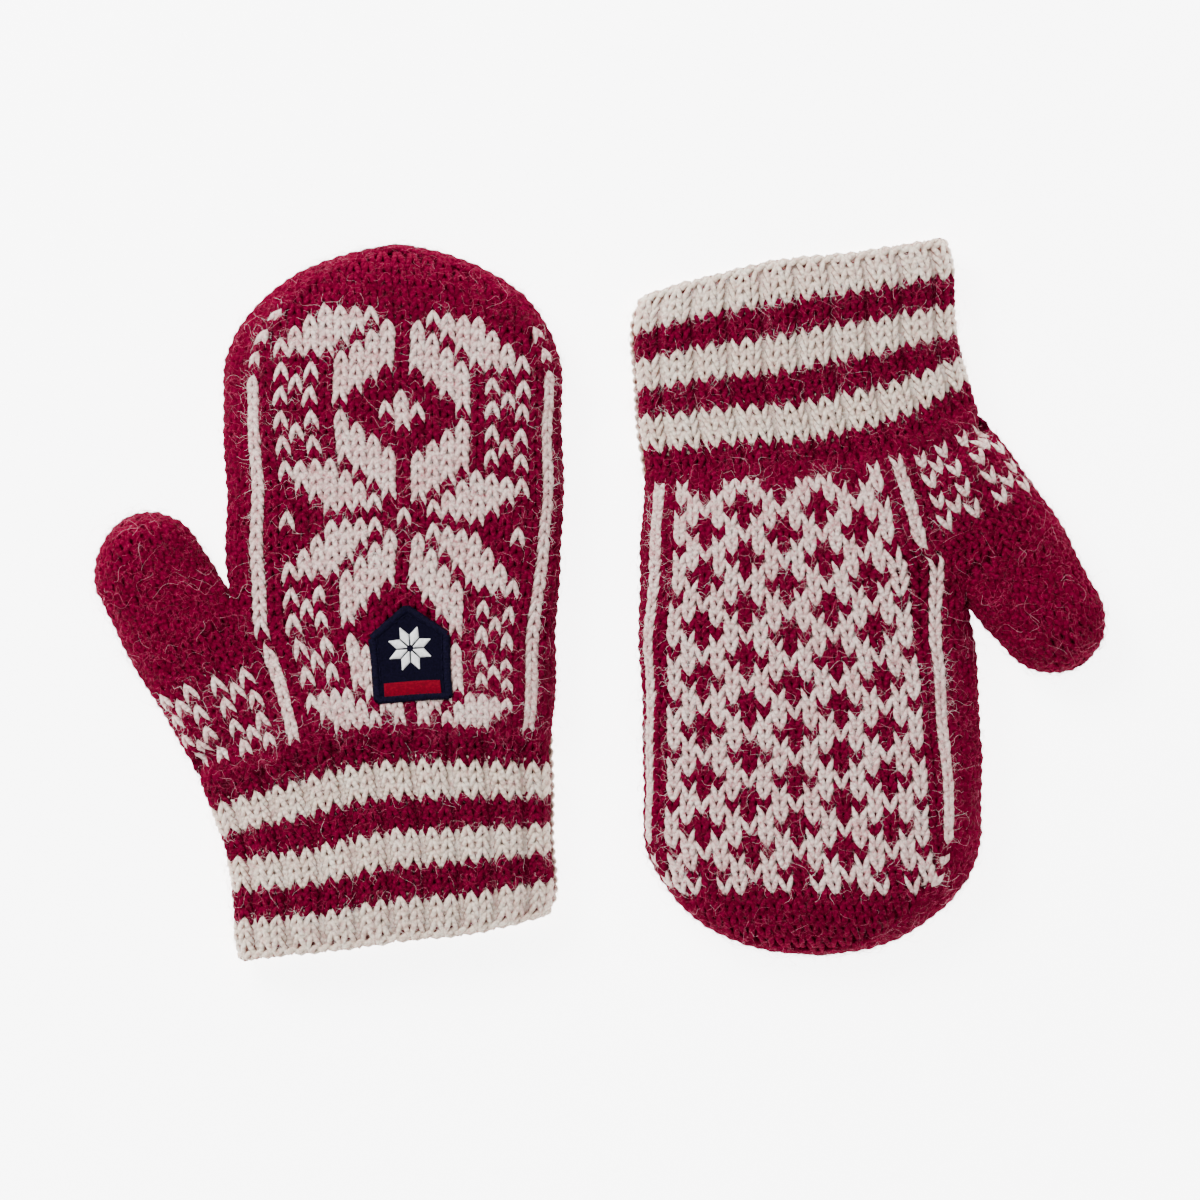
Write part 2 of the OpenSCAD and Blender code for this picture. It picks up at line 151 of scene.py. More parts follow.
class Mitten:
    """The measures in which the two mittens differ, and where each one lies.

    flare: how far the thumb's side stands out at the cuff join. bend, tilt: how the rows
    curve and slope. shift, stretch, spread: how the columns move, widen and fan out."""

    def __init__(self, name, back_up, flare, bend, tilt, thumb_angle, shift, stretch, spread):
        self.name = name
        self.back_up = back_up
        self.badge_side = 1 if back_up else -1
        self.flare, self.bend, self.tilt = flare, bend, tilt
        self.shift, self.stretch, self.spread = shift, stretch, spread
        fold = JOINTS[name + "_fingers_fold"]
        turn = math.atan2(fold["axis"][1], fold["axis"][0])
        c, s = math.cos(turn), math.sin(turn)
        self.rotation = np.array([[c, -s, 0], [s, c, 0], [0, 0, 1]])
        hinge = np.array([fold["pos_m"][0], fold["pos_m"][1], 0]) / MM
        self.origin = hinge - self.rotation @ np.array([0, FOLD_MIDDLE, 0])
        a = math.radians(thumb_angle)
        self.along = np.array([-math.sin(a), math.cos(a)])
        self.out = np.array([-math.cos(a), -math.sin(a)])
        swing = JOINTS[name + "_thumb_swing"]
        pivot = np.array([swing["pos_m"][0], swing["pos_m"][1], 0]) / MM
        local = self.rotation.T @ (pivot - self.origin)
        self.thumb_mid = local[:2] + self.out * THUMB_PIVOT

    def world(self, points):
        """Millimetres in the mitten's own frame to metres in the shared frame, with the slight
        unevenness of a knitted thing that was laid down by hand."""
        x, y, z = points[..., 0], points[..., 1], points[..., 2]
        turn = 1.3 if self.back_up else 4.1
        uneven = [
            UNEVEN * (np.sin(y / 8.3 + turn) + 0.6 * np.sin(y / 3.9 - x / 11 + 2 * turn)),
            UNEVEN * (np.sin(x / 9.1 + turn) + 0.5 * np.sin(x / 4.7 + y / 13 - turn)),
            UNEVEN * z / THICKNESS[-1] * np.sin(x / 7.3 - turn) * np.sin(y / 10.7 + turn),
        ]
        return ((points + np.stack(uneven, axis=-1)) @ self.rotation.T + self.origin) * MM

    def thumb_point(self, s, q):
        return self.thumb_mid + np.outer(s, self.along) + np.outer(q, self.out)


def smoothstep(x):
    x = np.clip(x, 0, 1)
    return x * x * (3 - 2 * x)


def smooth_max(a, b, reach=4.0):
    overlap = np.clip(reach - np.abs(a - b), 0, None) / reach
    return np.maximum(a, b) + overlap * overlap * reach / 4


def signed_pow(t):
    return np.sign(t) * np.abs(t) ** (2 / SECTION_POWER)


def unit(v):
    return v / np.maximum(np.linalg.norm(v, axis=-1, keepdims=True), 1e-9)


# ---- The hand's skin
def row_slant(m, x, v):
    """How far a row's point lies above the row's height at the middle."""
    near = np.interp(v, [-50, -28, -12, 0, 23], [0.1, 0.25, 0.1, 0.1, 0])
    near_bend = np.interp(v, [-50, -28, -12, 0, 23], [0, 0.0025, m.bend, m.bend, 0])
    far = np.interp(v, [-50, -28, -12], [0.1, 0.05, 0])
    far_bend = np.interp(v, [-50, -28, -12], [0.0023, 0.0008, 0])
    return np.where(x < 0, near * x + near_bend * x * x, far * x + far_bend * x * x)


def dome_share(v, start, length):
    return np.clip((v - start) / length, 0, 0.9995)


def hand_sides(m, v):
    """Half widths towards the thumb and away from it, and the thickness, at height v."""
    share = dome_share(v, DOME_START, DOME_LEN)
    narrow = np.sqrt(1 - share**2)
    right = np.interp(v, HALF_AT, HALF_WIDTH)
    left = right + m.flare * np.interp(v, FLARE_AT, FLARE_SHARE, 0, 0)
    thick = np.interp(v, THICK_AT, THICKNESS)
    thick = TIP_THICK + (thick - TIP_THICK) * np.sqrt(1 - share**4)
    return left * narrow, right * narrow, thick


def section_height(thick, sine):
    return np.maximum(0, thick / 2 - PRESSED + (thick / 2 + PRESSED) * signed_pow(sine))


class Patch:
    """A grid of skin points and outward normals: first index along the rows' heights,
    second index round the section by share of its length."""

    def __init__(self, heights, points, outward):
        self.heights = heights
        around = np.gradient(points, axis=1)
        up = np.gradient(points, axis=0)
        self.points = points
        self.normals = unit(np.cross(around, up) * outward)

    def at(self, share, height):
        rows, cols = self.points.shape[:2]
        i = np.clip(np.interp(height, self.heights, np.arange(rows)), 0, rows - 1.001)
        j = np.clip(share * (cols - 1), 0, cols - 1.001)
        i0, j0 = i.astype(int), j.astype(int)
        fi, fj = (i - i0)[..., None], (j - j0)[..., None]
        result = []
        for grid in (self.points, self.normals):
            low = grid[i0, j0] * (1 - fj) + grid[i0, j0 + 1] * fj
            high = grid[i0 + 1, j0] * (1 - fj) + grid[i0 + 1, j0 + 1] * fj
            result.append(low * (1 - fi) + high * fi)
        return result[0], unit(result[1])


def resample(curve, count):
    """Points at equal distances along a curve, and the distances of its own points."""
    steps = np.linalg.norm(np.diff(curve, axis=0), axis=1)
    lengths = np.concatenate([[0], np.cumsum(steps)])
    wanted = np.linspace(0, lengths[-1], count)
    even = np.stack([np.interp(wanted, lengths, curve[:, k]) for k in range(3)], axis=1)
    return even, lengths


class Hand(Patch):
    """The skin from the cuff's edge to the crown. u is the distance round from the middle
    of the upper face, towards the little finger."""

    def __init__(self, m):
        self.m = m
        dome = DOME_START + DOME_LEN * np.sin(np.linspace(0, math.pi / 2, 90))
        heights = np.concatenate([np.arange(-CUFF_LEN - 2, DOME_START, 0.5), dome])
        angle = np.linspace(math.pi, -math.pi, 721)
        half = len(angle) // 2
        grid, lines = [], []
        for v in heights:
            left, right, thick = hand_sides(m, v)
            side = np.where(np.cos(angle) < 0, left, right)
            x = side * signed_pow(np.cos(angle))
            z = section_height(thick, np.sin(angle))
            even, lengths = resample(np.stack([x, v + row_slant(m, x, v), z], axis=1), 513)
            grid.append(even)
            middle = (self.face_middle(v, True) + m.shift) * right / HALF_WIDTH[-1]
            under = (self.face_middle(v, False) - m.shift) * right / HALF_WIDTH[-1]
            top = np.interp(middle, x[:half], lengths[:half])
            bottom = np.interp(-under, -x[half:], lengths[half:])
            lines.append((lengths[-1], lengths[half], top, bottom))
        super().__init__(heights, np.array(grid), 1)
        self.total, self.side, self.top, self.bottom = np.array(lines).T.copy()

    @staticmethod
    def face_middle(v, upper):
        values = [4.6, 2.5, 2.3] if upper else [3.2, -1.2, -2.3]
        return np.interp(v, [0, 25, 110], values)

    def look(self, values, v):
        return np.interp(v, self.heights, values)

    def pitch(self, v):
        return self.m.stretch * np.interp(v, [0, 41, 80], [2.8, 3.43, 3.65])

    def way(self, c, v):
        """Distance round from the upper face's middle to the lower one's, on c's side."""
        to_right = self.look(self.bottom - self.top, v)
        return np.where(c < 0, self.look(self.total, v) - to_right, to_right)

    def distance(self, c, v):
        """Distance round for column c, counted from the upper face's middle. The bands of
        columns along the two edges keep their width where the crown narrows."""
        p = self.pitch(v)
        way, way_base = self.way(c, v), self.way(c, np.minimum(v, DOME_START))
        band = np.where(c < 0, np.interp(v, [14, 30], [BAND + 1, BAND]), BAND)
        side_pitch = (way_base - 2 * band * p) / (FACE_COLUMNS - 2 * band)
        a = np.abs(c)
        middle = way / 2 + (a - FACE_COLUMNS / 2) * side_pitch
        under = way - (FACE_COLUMNS - a) * p
        u = np.where(a <= band, a * p, np.where(a >= FACE_COLUMNS - band, under, middle))
        spread = np.interp(v, SPREAD_AT, self.m.spread)
        share = smoothstep((a - 7.3) / 2.7) - smoothstep((a - FACE_COLUMNS / 2) / 3.5)
        u = u + np.where(c < 0, spread * share, 0)
        edge = way / 2 - (FACE_COLUMNS / 2 - band) * side_pitch
        return np.where(c < 0, -u, u), edge, way

    def at_distance(self, u, v):
        total = self.look(self.total, v)
        return self.at(((u + self.look(self.top, v)) / total) % 1.0, v)

    def place(self, c, v):
        return self.at_distance(self.distance(c, v)[0], v)


def skin_height(share, thick):
    """Height of the upper skin at a share of the section's half width."""
    sine = np.clip(1 - share**SECTION_POWER, 0, 1) ** 0.5
    return np.where(share > 1, OUTSIDE, section_height(thick, sine))


def hand_height(m, x, y):
    """Height of the hand's upper skin over a point of the floor."""
    v = y - row_slant(m, x, y)
    v = y - row_slant(m, x, v)
    left, right, thick = hand_sides(m, v)
    return skin_height(np.abs(x) / np.where(x < 0, left, right), thick)


def thumb_sides(s):
    share = dome_share(s, THUMB_DOME, THUMB_ROUND)
    half = np.interp(s, THUMB_AT, THUMB_HALF) * np.sqrt(1 - share**2)
    return half, TIP_THICK + (THUMB_THICK - TIP_THICK) * np.sqrt(1 - share**4)


def thumb_height(m, x, y):
    d = np.stack([x, y], axis=-1) - m.thumb_mid
    s, q = d @ m.along, d @ m.out
    half, thick = thumb_sides(s)
    fade = smoothstep((s - GUSSET_FROM + 3) / 10)
    return skin_height(np.abs(q) / half, thick) * fade + OUTSIDE * (1 - fade)


def lifted(m, points):
    """Points of the hand's upper face, raised where the thumb's side swells under them."""
    x, y = points[..., 0], points[..., 1]
    own = hand_height(m, x, y)
    raised = smooth_max(own, thumb_height(m, x, y)) - np.maximum(own, 0)
    upper = smoothstep((points[..., 2] - 6) / 5)
    near = (x < -10) & (own > 0)
    result = points.copy()
    result[..., 2] += np.where(near, np.clip(raised, 0, 5) * upper, 0)
    return result


class Gusset(Patch):
    """The skin between the hand's last column and the thumb's outer side. Share 0 is on
    the upper face beside the hand, 1 on the lower face."""

    def __init__(self, m, hand):
        levels = np.linspace(-0.1, 1.1, 40)
        column = np.full(levels.shape, -BAND - 1.0)
        inner = hand.place(column, levels * GUSSET_TOP)[0][:, :2]
        s = GUSSET_FROM + levels * (ROOT_FROM - GUSSET_FROM)
        outer = m.thumb_point(s, thumb_sides(s)[0] * 0.9999)
        along = np.sin(np.linspace(0, math.pi / 2, 60))[:, None]
        grid = []
        for a, e in zip(inner, outer):
            plan = a + (e - a) * along
            x, y = plan[:, 0], plan[:, 1]
            top = smooth_max(hand_height(m, x, y), thumb_height(m, x, y))
            top = np.maximum(top, THUMB_THICK / 2 - PRESSED)
            mirror = THUMB_THICK - 2 * PRESSED - top
            upper = np.column_stack([plan, top])
            lower = np.column_stack([plan, np.maximum(mirror, 0)])[::-1]
            grid.append(resample(np.concatenate([upper, lower]), 161)[0])
        super().__init__(levels, np.array(grid), -1)


class Thumb(Patch):
    """The thumb's own skin, share 0 at the side towards the hand, then over the top."""

    def __init__(self, m):
        lengths = np.linspace(0, THUMB_ROUND * math.pi / 2, 60)
        dome = THUMB_DOME + THUMB_ROUND * np.sin(lengths / THUMB_ROUND)
        s = np.concatenate([np.arange(ROOT_FROM - 4, THUMB_DOME, 0.5), dome])
        travel = np.concatenate([s[: len(s) - 60], THUMB_DOME + lengths])
        angle = np.linspace(0, TAU, 361)
        grid, self.total = [], []
        for value in s:
            half, thick = thumb_sides(value)
            q = -half * signed_pow(np.cos(angle))
            plan = m.thumb_point(np.full(q.shape, value), q)
            curve = np.column_stack([plan, section_height(thick, np.sin(angle))])
            even, length = resample(curve, 161)
            grid.append(even)
            self.total.append(length[-1])
        super().__init__(travel, np.array(grid), -1)
        self.total = np.array(self.total)


# ---- Charts: True where a stitch is cream
def back_chart(k, row):
    a = np.abs(k)
    d = np.abs((row - STAR_CENTRE + STAR_ROWS // 2) % STAR_ROWS - STAR_ROWS // 2)
    steep = (a >= 1) & (a <= 4) & (d >= a + 1) & (d <= a + 4)
    flat = (d >= 1) & (d <= 4) & (a >= d + 1) & (a <= d + 4)
    heart = (d == 0) & ((a == 0) | (a == 8))
    e = STAR_ROWS // 2 - d
    plus = ((a == 0) & (e <= 1)) | ((a == 1) & (e == 0))
    checks = (((a == 6) | (a == 8)) & ((e == 1) | (e == 3))) | ((a == 7) & (e == 2))
    return steep | flat | heart | plus | checks


def palm_chart(k, row):
    """A lattice: all cream but for two sets of small red diamonds."""
    cream = np.abs(k) <= 8
    for k0, row0 in ((0, 1), (3, 3)):
        cream &= np.abs((k - k0 + 3) % 6 - 3) + np.abs((row - row0 + 2) % 4 - 2) > 1
    return cream


def hand_chart(m, c, row):
    """True where column c, from -26 to 25, is cream on the row."""
    over = np.abs(c) < FACE_COLUMNS / 2
    k = np.where(over, c, np.where(c < 0, 1, -1) * (FACE_COLUMNS - np.abs(c)))
    on_back = over if m.back_up else ~over
    face = np.where(on_back, back_chart(k, row), palm_chart(k, row))
    line = np.abs(k) == 10
    gap = (c < 0) & line & (row == 8)
    return ((face & (np.abs(k) <= 8)) | (line & ~gap)) & (row <= PATTERN_TOP) & (row >= 1)


ROW_AT = [-3, 1, 8, 17, 26, 35, 40]
ROW_MIDDLE = [-9, 2.3, 23.6, 50.6, 75.9, 101.0, 115.0]
ROW_SIDE = [-9, 2.0, 20.0, 48.1, 75.1, 101.0, 115.0]


def row_height(m, c, row):
    """Height of a row at column c: rows hang lower at the two edges, and slope a little."""
    middle = np.interp(row, ROW_AT, ROW_MIDDLE)
    side = np.interp(row, ROW_AT, ROW_SIDE)
    hang = (1 - np.cos(TAU * c / FACE_COLUMNS)) / (1 - math.cos(TAU * 8 / FACE_COLUMNS))
    slope = m.tilt * np.interp(middle, [0, 20], [0.26, 1]) * np.sin(TAU * c / COLUMNS)
    return middle + (side - middle) * hang + slope


# ---- Meshes
def make_mesh(name, verts, corner_verts, starts, uvs):
    mesh = bpy.data.meshes.new(name)
    mesh.vertices.add(len(verts))
    mesh.vertices.foreach_set("co", np.asarray(verts, np.float32).ravel())
    mesh.loops.add(len(corner_verts))
    mesh.loops.foreach_set("vertex_index", np.asarray(corner_verts, np.int32))
    mesh.polygons.add(len(starts))
    mesh.polygons.foreach_set("loop_start", np.asarray(starts, np.int32))
    mesh.update(calc_edges=True)
    mesh.polygons.foreach_set("use_smooth", np.ones(len(starts), bool))
    layer = mesh.uv_layers.new(name="Yarn")
    layer.data.foreach_set("uv", np.asarray(uvs, np.float32).ravel())
    mesh.validate()
    obj = bpy.data.objects.new(name, mesh)
    bpy.context.scene.collection.objects.link(obj)
    return obj


def tube_arrays(paths, normals, radii, sides):
    """Closed tubes along paths of shape (tubes, rings, 3)."""
    n, rings = paths.shape[:2]
    tangent = unit(np.gradient(paths, axis=1))
    side = unit(np.cross(tangent, normals))
    up = np.cross(side, tangent)
    angle = np.arange(sides) * TAU / sides
    spread = np.cos(angle)[:, None] * up[:, :, None] + np.sin(angle)[:, None] * side[:, :, None]
    verts = (paths[:, :, None] + radii[..., None, None] * spread).reshape(-1, 3)
    ring = np.arange(n * rings).reshape(n, rings)
    k = np.arange(sides)
    a = ring[:, :-1, None] * sides + k
    b = ring[:, :-1, None] * sides + (k + 1) % sides
    quads = np.stack([a, b, b + sides, a + sides], axis=-1).reshape(-1, 4)
    first = ring[:, :1] * sides + k[::-1]
    last = ring[:, -1:] * sides + k
    corner_verts = np.concatenate([quads.ravel(), first.ravel(), last.ravel()])
    cap_start = quads.size + np.arange(2 * n) * sides
    starts = np.concatenate([np.arange(len(quads)) * 4, cap_start])
    steps = np.linalg.norm(np.diff(paths, axis=1), axis=2)
    travel = np.concatenate([np.zeros((n, 1)), np.cumsum(steps, axis=1)], axis=1)
    travel += rng.uniform(0, 50, (n, 1))
    shape = (n, rings - 1, sides)
    u0 = np.broadcast_to(travel[:, :-1, None], shape)
    u1 = np.broadcast_to(travel[:, 1:, None], shape)
    w0 = np.broadcast_to(k / sides, shape)
    w1 = w0 + 1 / sides
    corners = [np.stack(pair, -1) for pair in ((u0, w0), (u0, w1), (u1, w1), (u1, w0))]
    quad_uv = np.stack(corners, axis=3)
    cap_uv = np.zeros((2 * n * sides, 2))
    return verts, corner_verts, starts, np.concatenate([quad_uv.reshape(-1, 2), cap_uv])


def mitten_mesh(name, m, arrays):
    """A mesh from a mitten's own millimetres, kept above the floor."""
    verts = m.world(arrays[0])
    verts[:, 2] = np.maximum(verts[:, 2], cad_low.z)
    return make_mesh(f"{m.name}_{name}", verts, *arrays[1:])


def tube_piece(name, m, paths, normals, radii, sides=YARN_SIDES):
    radii = radii * rng.normal(1, 0.035, radii.shape)
    return mitten_mesh(name, m, tube_arrays(paths, normals, radii, sides))


def grid_of(*ranges, order="xy"):
    """Every pair, or triple, of the ranges' values as flat arrays."""
    return [a.ravel() for a in np.meshgrid(*ranges, indexing=order)]


# ---- Stitches
def loop_shape(swing=LOOP_SWING, rise=LOOP_RISE, lift=LOOP_LIFT):
    """One loop of yarn: share of a column across, and millimetres up and out. Its point
    looks up."""
    t = np.linspace(-math.pi, math.pi, LOOP_RINGS)
    across = t / TAU + swing * np.sin(2 * t)
    up = -rise * np.cos(t)
    out = -lift * np.cos(2 * t) - 0.12 * np.cos(t)
    thick = 1 - 0.13 * np.cos(2 * t)
    return across, up, out, thick


def add_loops(found, points, normals, depth, radii, cream, zone, keep=slice(None)):
    """Adds loops to the list: their paths, normals, radii, colours and zones."""
    cream, zone = (np.broadcast_to(value, len(points)) for value in (cream, zone))
    paths = points + normals * depth[..., None]
    found.append([part[keep] for part in (paths, normals, radii, cream, zone)])


def joined(found):
    return [np.concatenate(part) for part in zip(*found)]


def jitter(n, size):
    return rng.normal(0, size, (n, 1))


def depth_and_radii(n, depth, radius, thick):
    return depth + jitter(n, DEPTH_JITTER), radius * thick * (1 + jitter(n, RADIUS_JITTER))


def hand_columns(m, hand):
    """Column, row and height of each of the hand's stitches, and whether it lies in a band
    along an edge, where the rows go on round the crown's outline."""
    c, row = grid_of(np.arange(-FACE_COLUMNS, FACE_COLUMNS), np.arange(BAND_ROWS))
    in_band = (np.abs(c) > BAND) & (np.abs(c) < FACE_COLUMNS - BAND)
    level = row_height(m, c, np.minimum(row, LAST_ROW))
    base_row = math.floor(np.interp(DOME_START, ROW_MIDDLE, ROW_AT))
    past = np.clip(row - base_row, 0, None)
    travel = np.where(past > 0, row_height(m, c, base_row) + past * ROW_HEIGHT, level)
    centre = np.where(in_band, travel, level)
    side_top = DOME_START + DOME_LEN * math.pi / 2
    keep = np.where(in_band, centre < side_top - 1, row <= LAST_ROW)
    plan = np.where(in_band, dome_height(centre), centre)
    u, edge, way = hand.distance(c.astype(float), np.minimum(plan, HAND_TIP))
    room = np.where(np.abs(c) <= BAND, edge - np.abs(u), np.abs(u) - (way - edge))
    keep &= in_band | (plan < DOME_START) | (room > 0.3)
    keep &= ~in_band | (np.abs(u) > 0.5) & (np.abs(u) < way - 0.5)
    keep &= ~((c < -BAND - 1) & (c > -FACE_COLUMNS + BAND + 1) & (centre < GUSSET_TOP))
    return c[keep], row[keep], centre[keep], in_band[keep]


def hand_colours(m, c, row, centre, in_band):
    colour_row = np.interp(dome_height(centre), ROW_MIDDLE, ROW_AT).round()
    colour_row = np.where(in_band & (centre > DOME_START), colour_row, row)
    cream = hand_chart(m, c, colour_row)
    return cream & ~(in_band & (colour_row > LINE_TOP) & (row % 2 == 1))


def in_thumb(m, points):
    """Loops of the hand's upper face that the thumb covers."""
    x, y, z = points[:, LOOP_RINGS // 2].T
    inside = (thumb_height(m, x, y) > z + 0.6) & (z > 7)
    return inside & (x < -20) & (y > GUSSET_TOP - 3)


def hand_stitches(m, hand, found):
    """The hand above the join, without the columns that the gusset takes."""
    across, up, out, thick = loop_shape()
    c, row, centre, in_band = hand_columns(m, hand)
    n = len(c)
    col = c[:, None] + across + jitter(n, COLUMN_JITTER)
    low_row = np.minimum(row, LAST_ROW)
    slope = row_height(m, col, low_row[:, None]) - row_height(m, c, low_row)[:, None]
    v = centre[:, None] + slope + up * (1 + jitter(n, 0.02)) + jitter(n, HEIGHT_JITTER)
    v = np.where(in_band[:, None], dome_height(v), np.minimum(v, HAND_TIP))
    points, normals = hand.at_distance(banded_distance(hand, c, col, v), v)
    points = lifted(m, points)
    cream = hand_colours(m, c, row, centre, in_band)
    zone = np.where(centre < FOLD_START, PALM, np.where(centre < FOLD_END, KNUCKLES, FINGERS))
    depth, radii = depth_and_radii(n, out - SKIN_DEPTH, YARN, thick)
    radii = radii * np.where(cream, CREAM_YARN_SHARE, 1.0)[:, None]
    keep = ~in_thumb(m, points) & ~under_badge(m, points, normals)
    add_loops(found, points, normals, depth, radii, cream, zone, keep)


def dome_height(travel):
    """Height of a point that lies that far along the hand's rounded outline."""
    angle = np.clip((travel - DOME_START) / DOME_LEN, 0, math.pi / 2)
    return np.where(travel > DOME_START, DOME_START + DOME_LEN * np.sin(angle), travel)


def banded_distance(hand, c, col, v):
    """Distances round for whole loops. In the crown a loop stays in its own column's band."""
    plain = hand.distance(col, v)[0]
    own = hand.distance(np.broadcast_to(c[:, None], col.shape).astype(float), v)[0]
    low = np.full(v.shape, DOME_START)
    pitch = hand.distance(c[:, None] + 0.2, low)[0] - hand.distance(c[:, None] - 0.2, low)[0]
    stuck = own + (col - c[:, None]) * pitch / 0.4
    return np.where(v < DOME_START - 4, plain, stuck)


def badge_outline(inset=0.0):
    half = BADGE_WIDTH / 2 - inset
    low, top = -BADGE_HEIGHT / 2 + inset, BADGE_HEIGHT / 2 - inset * 1.3
    shoulder = low + BADGE_SIDE - inset * 0.6
    base = half - BADGE_LEAN
    return np.array([[-base, low], [base, low], [half, shoulder], [0, top], [-half, shoulder]])


def badge_turn(m):
    return math.cos(BADGE_TURN * m.badge_side), math.sin(BADGE_TURN * m.badge_side)


def to_badge(m, plan):
    c, s = badge_turn(m)
    d = plan - BADGE_CENTRE
    return np.stack([d[..., 0] * c + d[..., 1] * s, -d[..., 0] * s + d[..., 1] * c], axis=-1)


def from_badge(m, plan):
    c, s = badge_turn(m)
    x, y = plan[..., 0], plan[..., 1]
    return np.stack([x * c - y * s, x * s + y * c], axis=-1) + BADGE_CENTRE


def sides_of(corners):
    return zip(corners, np.roll(corners, -1, axis=0))


def inside_polygon(points, corners):
    inside = np.ones(points.shape[:-1], bool)
    for a, b in sides_of(corners):
        edge = b - a
        d = points - a
        inside &= edge[0] * d[..., 1] - edge[1] * d[..., 0] > 0
    return inside


def under_badge(m, points, normals):
    """Stitches hidden behind the badge."""
    middle = points[:, LOOP_RINGS // 2]
    faces_badge = normals[:, LOOP_RINGS // 2, 2] * m.badge_side > 0
    return faces_badge & inside_polygon(to_badge(m, middle[:, :2]), badge_outline(2.7))


def gusset_stitches(gusset, found):
    across, up, out, thick = loop_shape(rise=LOOP_RISE * 0.98)
    g, row = grid_of(np.arange(GUSSET_COLUMNS), np.arange(-1, GUSSET_ROWS + 1))
    n = len(g)
    share = (g[:, None] + 0.5 + across + jitter(n, COLUMN_JITTER)) / GUSSET_COLUMNS
    length = ROOT_FROM - GUSSET_FROM
    level = (row[:, None] + 0.5) / GUSSET_ROWS + (up + jitter(n, HEIGHT_JITTER)) / length
    points, normals = gusset.at(np.clip(share, 0, 1), level)
    depth, radii = depth_and_radii(n, out - SKIN_DEPTH, THUMB_YARN, thick)
    add_loops(found, points, normals, depth, radii, gusset_checks(g, row), THUMB)


def gusset_checks(g, row):
    """Two stacks of small crosses on each face."""
    k = np.where(g < GUSSET_COLUMNS / 2, g, GUSSET_COLUMNS - 1 - g)
    step = (row - 1) % 4
    arms = ((k % 4 == 1) | (k % 4 == 3)) & ((step == 0) | (step == 2))
    middle = (k % 4 == 2) & (step == 1)
    return (arms | middle) & (row >= 1) & (row <= 7) & (k < 8)


def thumb_stitches(m, thumb, found):
    """Rings of loops round the thumb, without those that lie inside the hand."""
    across, up, out, thick = loop_shape()
    rows = np.arange(ROOT_FROM + ROW_HEIGHT / 2, thumb.heights[-1] - 1.2, ROW_HEIGHT)
    for travel in rows:
        total = np.interp(travel, thumb.heights, thumb.total)
        count = max(8, round(total / THUMB_PITCH))
        g = np.arange(count)
        share = (g[:, None] + 0.5 + across + jitter(count, COLUMN_JITTER)) / count
        level = travel + up + jitter(count, HEIGHT_JITTER)
        level = np.minimum(level, thumb.heights[-1] - 0.2)
        points, normals = thumb.at(share % 1.0, level)
        x, y, z = points[:, LOOP_RINGS // 2].T
        inner = hand_height(m, x, y)
        keep = (z > inner - 0.6) | (inner < 0)
        depth, radii = depth_and_radii(count, out - SKIN_DEPTH, THUMB_YARN, thick)
        add_loops(found, points, normals, depth, radii, False, THUMB, keep)


def cuff_stitches(m, hand, found):
    """Ribs of two knit columns with a sunk purl column between them."""
    knit = loop_shape(rise=LOOP_RISE * 0.95)
    purl = loop_shape(swing=0.12, rise=LOOP_RISE * 0.9, lift=0.2)
    height = CUFF_LEN / CUFF_ROWS
    rib, kind, row = grid_of(np.arange(RIBS), np.arange(3), np.arange(CUFF_ROWS))
    cream = (row // ROWS_A_STRIPE) % 2 == 1
    for shape, chosen, sunk in ((knit, kind < 2, 0.0), (purl, kind == 2, 0.35)):
        across, up, out, thick = shape
        r, k, j = rib[chosen], kind[chosen], row[chosen]
        n = len(r)
        place = r[:, None] + RIB_MIDDLES[k][:, None] + across * RIB_WIDTHS[k][:, None]
        share = (place + jitter(n, 0.008)) / RIBS
        v = -(j[:, None] + 0.5) * height + up + jitter(n, HEIGHT_JITTER)
        v = np.clip(v, -CUFF_LEN - 1.5, 2)
        points, normals = hand.at(share % 1.0, v)
        bow = np.abs((share * RIBS - RIB_WIDTHS[0] + 0.5) % 1.0 - 0.5) / 0.5
        swell = 0.45 - 1.5 * bow**2
        depth, radii = depth_and_radii(n, out - SKIN_DEPTH - sunk + swell, CUFF_YARN, thick)
        add_loops(found, lifted(m, points), normals, depth, radii, cream[chosen], CUFF)


# ---- Looks
def linear(r, g, b):
    """A colour for a socket from its 0 to 255 screen values."""
    def one(x):
        x /= 255
        return x / 12.92 if x <= 0.04045 else ((x + 0.055) / 1.055) ** 2.4

    return (one(r), one(g), one(b), 1)


